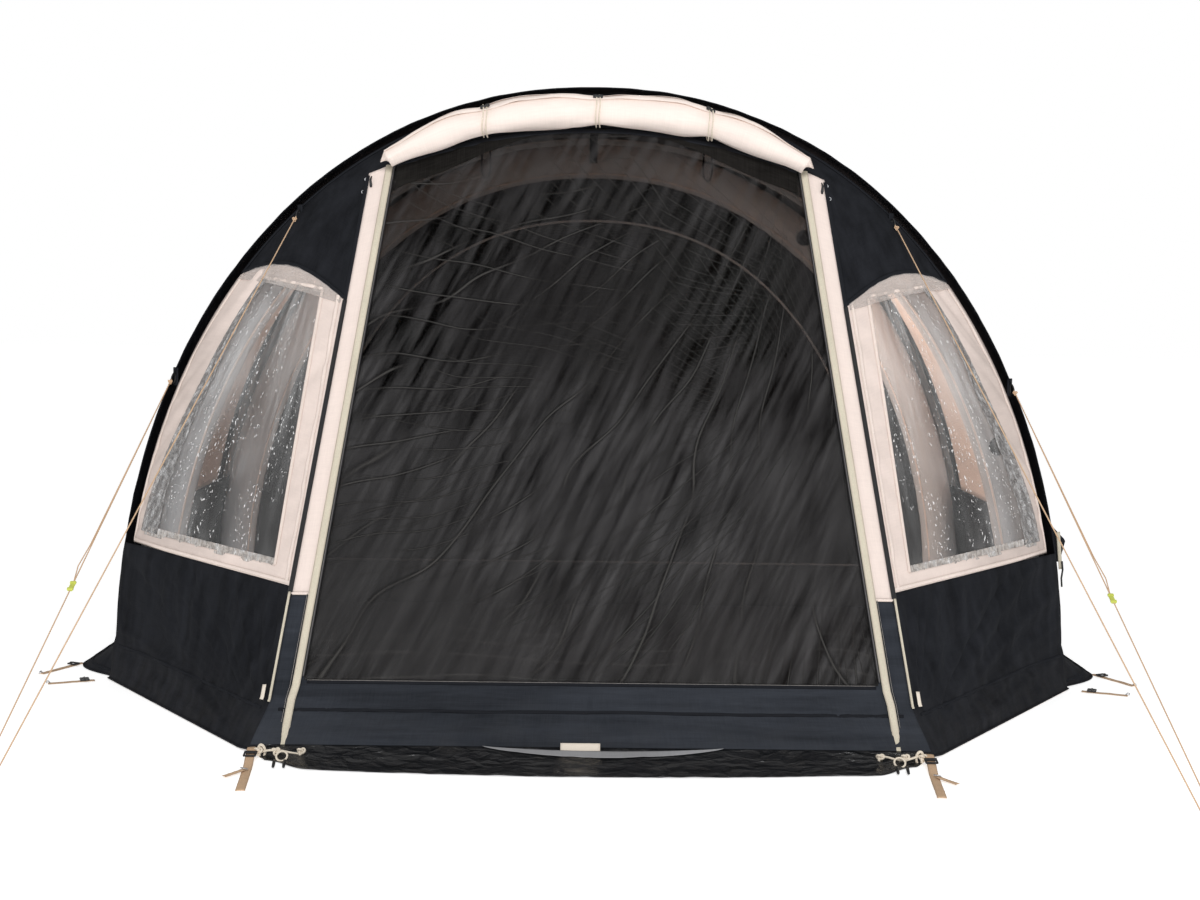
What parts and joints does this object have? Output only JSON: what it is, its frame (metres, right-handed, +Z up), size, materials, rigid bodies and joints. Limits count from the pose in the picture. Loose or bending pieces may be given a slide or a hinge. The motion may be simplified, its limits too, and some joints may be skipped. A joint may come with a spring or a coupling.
{
  "type": "inflatable tunnel tent",
  "caption": "Inflatable tunnel tent with round air arches, a faceted front bay with a mesh door and clear side windows, and a bedroom behind an inner wall.",
  "frame": {"origin": "on the ground, on the tent's centre line, at the front face of the front arch", "axes": "+X to the right seen from the front, +Y from the front into the tent, +Z up"},
  "size_m": [3.9726, 7.815, 2.11],
  "materials": {
    "dark_cotton": "matt woven cotton, blue-black",
    "cream_cotton": "matt woven cotton, warm cream",
    "grey_sleeve": "smooth light grey tube sleeve",
    "black_mesh": "fine black mosquito mesh",
    "clear_pvc": "clear creased film",
    "groundsheet": "coated grey groundsheet",
    "mud_flap": "glossy black film",
    "tan_webbing": "ribbed tan webbing",
    "tan_rope": "braided tan cord",
    "steel": "bare steel"
  },
  "bodies": {
    "root": {"front_air_tube": "grey_sleeve", "middle_air_tube": "grey_sleeve", "rear_air_tube": "grey_sleeve", "front_arch_sleeve": "dark_cotton", "middle_arch_band": "dark_cotton", "rear_arch_sleeve": "dark_cotton", "living_canopy": "cream_cotton", "bedroom_canopy": "cream_cotton", "base_panel_left": "dark_cotton", "base_panel_right": "dark_cotton", "skirt_left": "dark_cotton", "skirt_right": "dark_cotton", "front_upper_panel": "dark_cotton", "mesh_door": "black_mesh", "front_sill_panel": "dark_cotton", "rolled_door": "cream_cotton", "front_mud_flap": "mud_flap", "front_base_left": "dark_cotton", "front_base_right": "dark_cotton", "window_panel_left": "cream_cotton", "window_panel_right": "cream_cotton", "clear_window_left": "clear_pvc", "clear_window_right": "clear_pvc", "door_strip_left": "cream_cotton", "door_strip_right": "cream_cotton", "rear_upper_panel": "dark_cotton", "rear_centre_panel": "cream_cotton", "rear_base_centre": "dark_cotton", "rear_side_panel_left": "cream_cotton", "rear_side_panel_right": "cream_cotton", "rear_base_left": "dark_cotton", "rear_base_right": "dark_cotton", "groundsheet": "groundsheet", "inner_tent_wall": "dark_cotton", "front_guy_rope_left": "tan_rope", "front_guy_rope_right": "tan_rope", "rear_guy_rope_left": "tan_rope", "rear_guy_rope_right": "tan_rope", "front_peg_left": "steel", "front_peg_right": "steel", "rear_peg_left": "steel", "rear_peg_right": "steel", "front_corner_strap_left": "tan_webbing", "front_corner_strap_right": "tan_webbing", "rear_corner_strap_left": "tan_webbing", "rear_corner_strap_right": "tan_webbing", "front_foot_strap_left": "tan_webbing", "front_hem_strap_left": "tan_webbing", "front_foot_strap_right": "tan_webbing", "front_hem_strap_right": "tan_webbing", "rear_foot_strap_left": "tan_webbing", "rear_hem_strap_left": "tan_webbing", "rear_foot_strap_right": "tan_webbing", "rear_hem_strap_right": "tan_webbing"}
  },
  "joints": []
}
